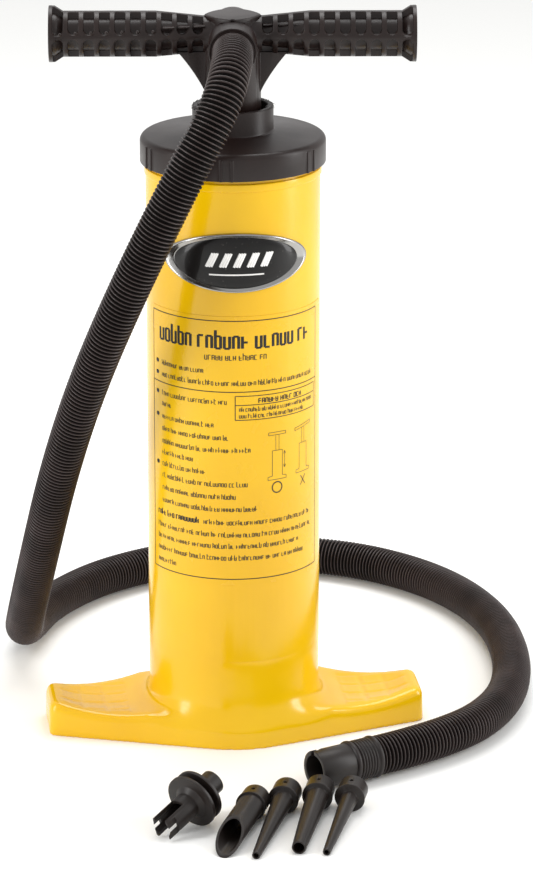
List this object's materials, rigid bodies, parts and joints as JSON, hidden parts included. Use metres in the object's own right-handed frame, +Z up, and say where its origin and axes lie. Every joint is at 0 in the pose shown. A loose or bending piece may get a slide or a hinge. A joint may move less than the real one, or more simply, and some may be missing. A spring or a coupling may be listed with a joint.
{
  "type": "double action hand pump",
  "caption": "Upright double action piston air pump with T-handle, winged foot, screw cap, corrugated hose and loose nozzles.",
  "frame": {"origin": "underside of the foot, on the axis of the piston rod", "axes": "+Z up along the rod, +X along the foot's right wing, -Y to the front, where the badge and label are"},
  "size_m": [0.3536, 0.5528, 0.4808],
  "materials": {
    "yellow_plastic": "glossy moulded",
    "black_plastic": "satin moulded",
    "white_plastic": "natural moulded",
    "rod_plastic": "smooth extruded",
    "seal_rubber": "moulded",
    "hose_plastic": "corrugated satin",
    "silver_rim": "bright",
    "badge_face": "glossy print",
    "label_film": "clear printed film",
    "screw_steel": "zinc plated"
  },
  "bodies": {
    "base": {"body_shell": "yellow_plastic", "inner_cylinder": "white_plastic", "cylinder_end_cap": "white_plastic", "cylinder_end_seal": "seal_rubber", "badge_rim": "silver_rim", "badge_face": "badge_face", "label_film": "label_film", "hose_floor": "hose_plastic", "hose_cuff": "hose_plastic", "hose_end_connector": "black_plastic"},
    "cap_gasket": {"cap_gasket": "seal_rubber"},
    "cap": {"screw_cap": "black_plastic", "rod_guide_bush": "white_plastic", "rod_seal": "seal_rubber", "seal_retainer": "white_plastic"},
    "piston_seals": {"piston_ring_lower": "seal_rubber", "piston_ring_upper": "seal_rubber", "hose_drop": "hose_plastic"},
    "plunger": {"handle": "black_plastic", "hub_cover": "black_plastic", "rod_outer_tube": "rod_plastic", "rod_inner_tube": "white_plastic", "piston_lower_half": "white_plastic", "piston_upper_half": "white_plastic", "valve_divider": "white_plastic", "piston_screws": "screw_steel", "hose_plug": "black_plastic", "hose_top": "hose_plastic"},
    "valve_lower_delivery": {"valve_lower_delivery": "seal_rubber"},
    "valve_lower_intake": {"valve_lower_intake": "seal_rubber"},
    "valve_upper_intake": {"valve_upper_intake": "seal_rubber"},
    "valve_upper_delivery": {"valve_upper_delivery": "seal_rubber"},
    "nozzle_fine": {"nozzle_fine": "black_plastic"},
    "nozzle_wide": {"nozzle_wide": "black_plastic"},
    "nozzle_slim": {"nozzle_slim": "black_plastic"},
    "nozzle_oblique": {"nozzle_oblique": "black_plastic"},
    "valve_adapter": {"valve_adapter": "black_plastic"}
  },
  "joints": [
    {"name": "cap_lift", "type": "slide", "parent": "base", "child": "cap_gasket", "axis": [0, 0, 1], "range_m": [0, 0.0076]},
    {"name": "cap_unscrew", "type": "hinge", "parent": "cap_gasket", "child": "cap", "pos_m": [0, 0, 0.39], "axis": [0, 0, 1], "range_deg": [0, 675]},
    {"name": "plunger_slide", "type": "slide", "parent": "cap_gasket", "child": "piston_seals", "axis": [0, 0, 1], "range_m": [0, 0.255]},
    {"name": "plunger_turn", "type": "hinge", "parent": "piston_seals", "child": "plunger", "pos_m": [0, 0, 0.46], "axis": [0, 0, 1], "range_deg": [-60, 60]},
    {"name": "valve_lower_delivery_lift", "type": "slide", "parent": "plunger", "child": "valve_lower_delivery", "axis": [0, 0, 1], "range_m": [0, 0.0025], "stiffness_N_per_m": 60},
    {"name": "valve_lower_intake_lift", "type": "slide", "parent": "plunger", "child": "valve_lower_intake", "axis": [0, 0, -1], "range_m": [0, 0.0025], "stiffness_N_per_m": 60},
    {"name": "valve_upper_intake_lift", "type": "slide", "parent": "plunger", "child": "valve_upper_intake", "axis": [0, 0, 1], "range_m": [0, 0.0025], "stiffness_N_per_m": 60},
    {"name": "valve_upper_delivery_lift", "type": "slide", "parent": "plunger", "child": "valve_upper_delivery", "axis": [0, 0, -1], "range_m": [0, 0.0025], "stiffness_N_per_m": 60},
    {"name": "nozzle_fine_pick_up", "type": "slide", "parent": "base", "child": "nozzle_fine", "axis": [0, 0, 1], "range_m": [0, 0.04]},
    {"name": "nozzle_wide_pick_up", "type": "slide", "parent": "base", "child": "nozzle_wide", "axis": [0, 0, 1], "range_m": [0, 0.04]},
    {"name": "nozzle_slim_pick_up", "type": "slide", "parent": "base", "child": "nozzle_slim", "axis": [0, 0, 1], "range_m": [0, 0.04]},
    {"name": "nozzle_oblique_pick_up", "type": "slide", "parent": "base", "child": "nozzle_oblique", "axis": [0, 0, 1], "range_m": [0, 0.04]},
    {"name": "valve_adapter_pick_up", "type": "slide", "parent": "base", "child": "valve_adapter", "axis": [0, 0, 1], "range_m": [0, 0.04]}
  ],
  "couplings": [
    {"joint": "cap_lift", "follows": "cap_unscrew", "m_per_rad": 0.00063662}
  ]
}
